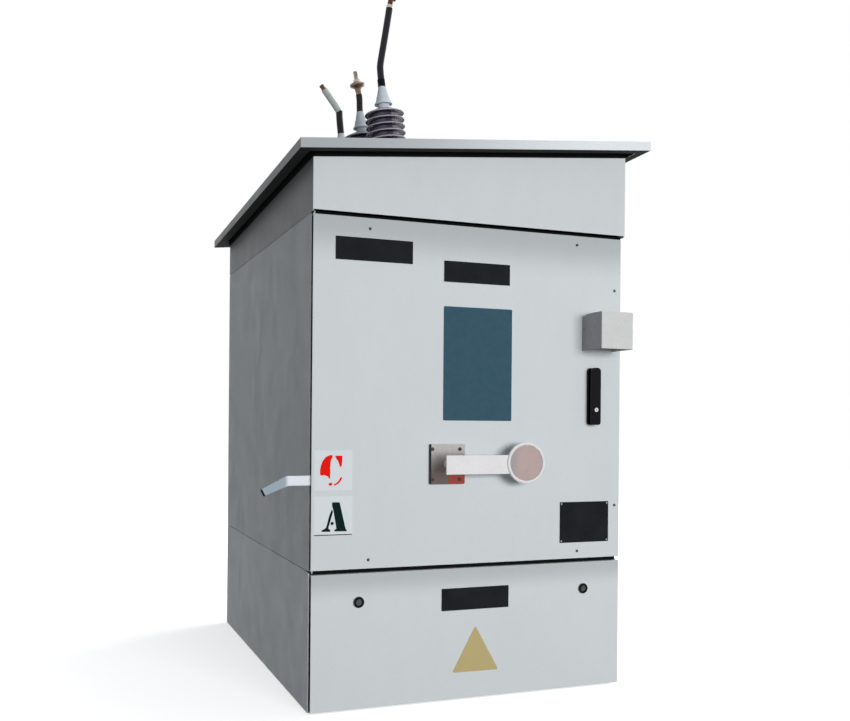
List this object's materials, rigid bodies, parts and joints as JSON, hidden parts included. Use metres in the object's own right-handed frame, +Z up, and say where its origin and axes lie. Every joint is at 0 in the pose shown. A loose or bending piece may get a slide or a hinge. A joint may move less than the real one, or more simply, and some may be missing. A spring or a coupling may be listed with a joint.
{
  "type": "pad-mounted switch cubicle",
  "caption": "Outdoor steel cubicle on a pad with a hinged door, rotary switch handle, control bay, side release lever and ribbed bushings on a sloping roof.",
  "frame": {"origin": "centre of the pad face, the underside of the floor plate", "axes": "+X to the right and +Y to the back as seen from the door, +Z up"},
  "size_m": [1.0734, 1.3325, 2.0399],
  "materials": {
    "grey_powder_coat": "light grey powder coat, fine texture",
    "dark_paint": "dark semi-matt paint",
    "white_paint": "white gloss paint",
    "zinc_plate": "zinc plated steel",
    "satin_steel": "satin stainless steel",
    "polished_steel": "polished stainless steel",
    "chrome_plate": "chrome plate",
    "copper": "bare and tinned copper",
    "bronze": "cast bronze",
    "black_plastic": "glass filled polyamide",
    "black_rubber": "black rubber and cable jacket",
    "glazed_shed": "dark glossy insulator",
    "grey_rubber": "light grey moulded rubber",
    "red_resin": "filled epoxy resin"
  },
  "bodies": {
    "housing": {"floor_plate": "grey_powder_coat", "base_shell": "grey_powder_coat", "control_bay_partition": "grey_powder_coat", "control_box": "grey_powder_coat", "front_frame": "dark_paint", "door_gasket": "black_rubber", "body_left_wall": "grey_powder_coat", "body_right_wall": "grey_powder_coat", "rear_panel": "grey_powder_coat", "skirt": "grey_powder_coat", "roof": "grey_powder_coat", "bushing_1": "glazed_shed", "bushing_2": "glazed_shed", "bushing_3": "glazed_shed", "bushing_cap_1": "grey_rubber", "bushing_cap_2": "grey_rubber", "bushing_cap_3": "grey_rubber", "lead_1": "black_rubber", "lead_2": "black_rubber", "lead_3": "black_rubber", "lug_1": "copper", "clamp_2": "bronze", "stub_3": "copper", "switch_plate": "grey_powder_coat", "pole_support_1": "red_resin", "pole_support_2": "red_resin", "pole_support_3": "red_resin", "upper_busbar_1": "copper", "upper_busbar_2": "copper", "upper_busbar_3": "copper", "lower_busbar_1": "copper", "lower_busbar_2": "copper", "lower_busbar_3": "copper", "shaft_bearing_front": "zinc_plate", "shaft_bearing_rear": "zinc_plate", "voltage_transformer": "red_resin"},
    "switch_rotor": {"switch_shaft": "red_resin", "contact_blade_1": "copper", "contact_blade_2": "copper", "contact_blade_3": "copper"},
    "door_leaf": {"door": "grey_powder_coat", "door_pivot_upper": "zinc_plate", "door_pivot_lower": "zinc_plate", "handle_plate": "satin_steel", "lock_housing": "black_plastic", "padlock_hood": "zinc_plate"},
    "operating_handle": {"handle_arm": "white_paint", "handle_disc": "polished_steel", "handle_shaft": "zinc_plate"},
    "lock_cam": {"lock_spindle": "zinc_plate"},
    "swing_handle": {"swing_lever": "black_plastic"},
    "key_barrel": {"key_cylinder": "chrome_plate"},
    "upper_rod": {"lock_rod_upper": "zinc_plate"},
    "lower_rod": {"lock_rod_lower": "zinc_plate"},
    "bay_cover": {"control_cover": "grey_powder_coat"},
    "left_turn_lock": {"turn_lock_left": "satin_steel"},
    "right_turn_lock": {"turn_lock_right": "satin_steel"},
    "release_lever": {"side_lever": "white_paint", "lever_shaft": "zinc_plate"}
  },
  "joints": [
    {"name": "door_hinge", "type": "hinge", "parent": "housing", "child": "door_leaf", "pos_m": [-0.445, -0.5915, 0.81], "axis": [0, 0, -1], "range_deg": [0, 100]},
    {"name": "handle_turn", "type": "hinge", "parent": "door_leaf", "child": "operating_handle", "pos_m": [-0.082, -0.595, 0.627], "axis": [0, 1, 0], "range_deg": [0, 90]},
    {"name": "switch_shaft_turn", "type": "hinge", "parent": "housing", "child": "switch_rotor", "pos_m": [-0.082, -0.5345, 0.627], "axis": [0, 1, 0], "range_deg": [0, 90]},
    {"name": "lock_spindle_turn", "type": "hinge", "parent": "door_leaf", "child": "lock_cam", "pos_m": [0.356, -0.595, 0.869], "axis": [0, 1, 0], "range_deg": [0, 90]},
    {"name": "swing_handle_lift", "type": "hinge", "parent": "lock_cam", "child": "swing_handle", "pos_m": [0.356, -0.614, 0.869], "axis": [-1, 0, 0], "range_deg": [0, 30]},
    {"name": "key_turn", "type": "hinge", "parent": "swing_handle", "child": "key_barrel", "pos_m": [0.356, -0.6245, 0.775], "axis": [0, 1, 0], "range_deg": [0, 90]},
    {"name": "upper_rod_slide", "type": "slide", "parent": "door_leaf", "child": "upper_rod", "axis": [0, 0, 1], "range_m": [0, 0.02]},
    {"name": "lower_rod_slide", "type": "slide", "parent": "door_leaf", "child": "lower_rod", "axis": [0, 0, -1], "range_m": [0, 0.02]},
    {"name": "bay_cover_hinge", "type": "hinge", "parent": "housing", "child": "bay_cover", "pos_m": [0, -0.589, 0.012], "axis": [1, 0, 0], "range_deg": [0, 90]},
    {"name": "left_turn_lock_turn", "type": "hinge", "parent": "bay_cover", "child": "left_turn_lock", "pos_m": [-0.322, -0.595, 0.276], "axis": [0, -1, 0], "range_deg": [0, 90]},
    {"name": "right_turn_lock_turn", "type": "hinge", "parent": "bay_cover", "child": "right_turn_lock", "pos_m": [0.333, -0.595, 0.276], "axis": [0, 1, 0], "range_deg": [0, 90]},
    {"name": "release_lever_turn", "type": "hinge", "parent": "housing", "child": "release_lever", "pos_m": [-0.42, -0.58275, 0.588], "axis": [0, -1, 0], "range_deg": [0, 60]}
  ],
  "couplings": [
    {"joint": "switch_shaft_turn", "follows": "handle_turn", "ratio": 1},
    {"joint": "upper_rod_slide", "follows": "lock_spindle_turn", "m_per_rad": 0.0127},
    {"joint": "lower_rod_slide", "follows": "lock_spindle_turn", "m_per_rad": 0.0127}
  ]
}
